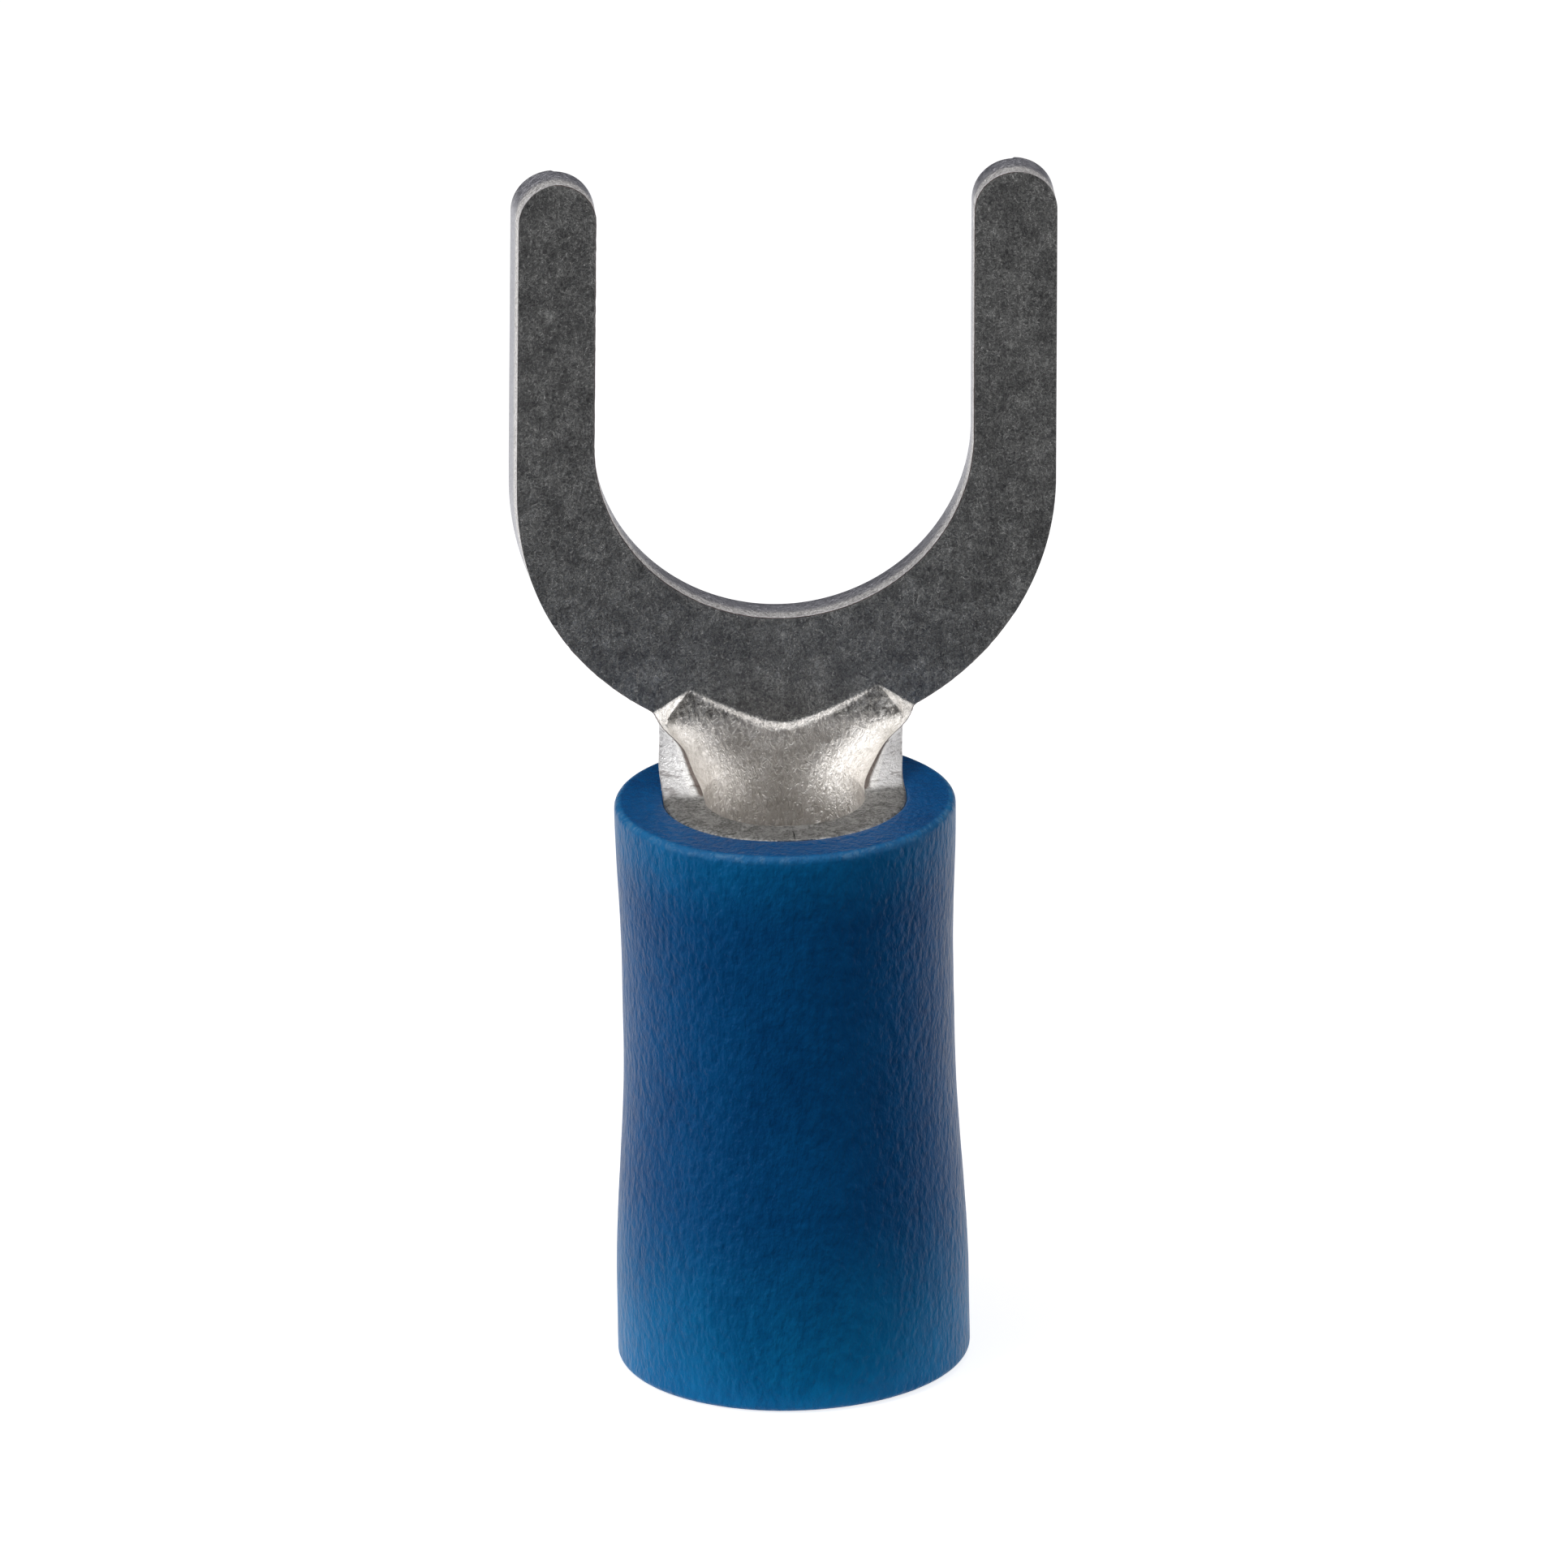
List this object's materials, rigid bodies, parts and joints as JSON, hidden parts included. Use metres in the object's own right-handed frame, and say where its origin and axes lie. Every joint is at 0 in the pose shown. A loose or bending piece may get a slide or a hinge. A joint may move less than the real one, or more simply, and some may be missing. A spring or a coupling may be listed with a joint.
{
  "type": "insulated fork terminal",
  "caption": "Crimp fork terminal of tinned sheet metal with an open slot for a screw stud and a blue insulating sleeve over its barrel.",
  "frame": {"origin": "centre of the sleeve's wire end, on the surface that the terminal stands on", "axes": "+Z along the barrel, from the wire end to the tips of the fork; +X across the fork; -Y is the side of the barrel's seam, towards which the neck is open"},
  "size_m": [0.0092, 0.006, 0.0206],
  "materials": {
    "tinned_metal": "satin tin plating on copper sheet, bright where it is drawn and sheared",
    "blue_pvc": "soft matt blue PVC"
  },
  "bodies": {
    "root": {"fork_terminal": "tinned_metal", "insulating_sleeve": "blue_pvc"}
  },
  "joints": []
}
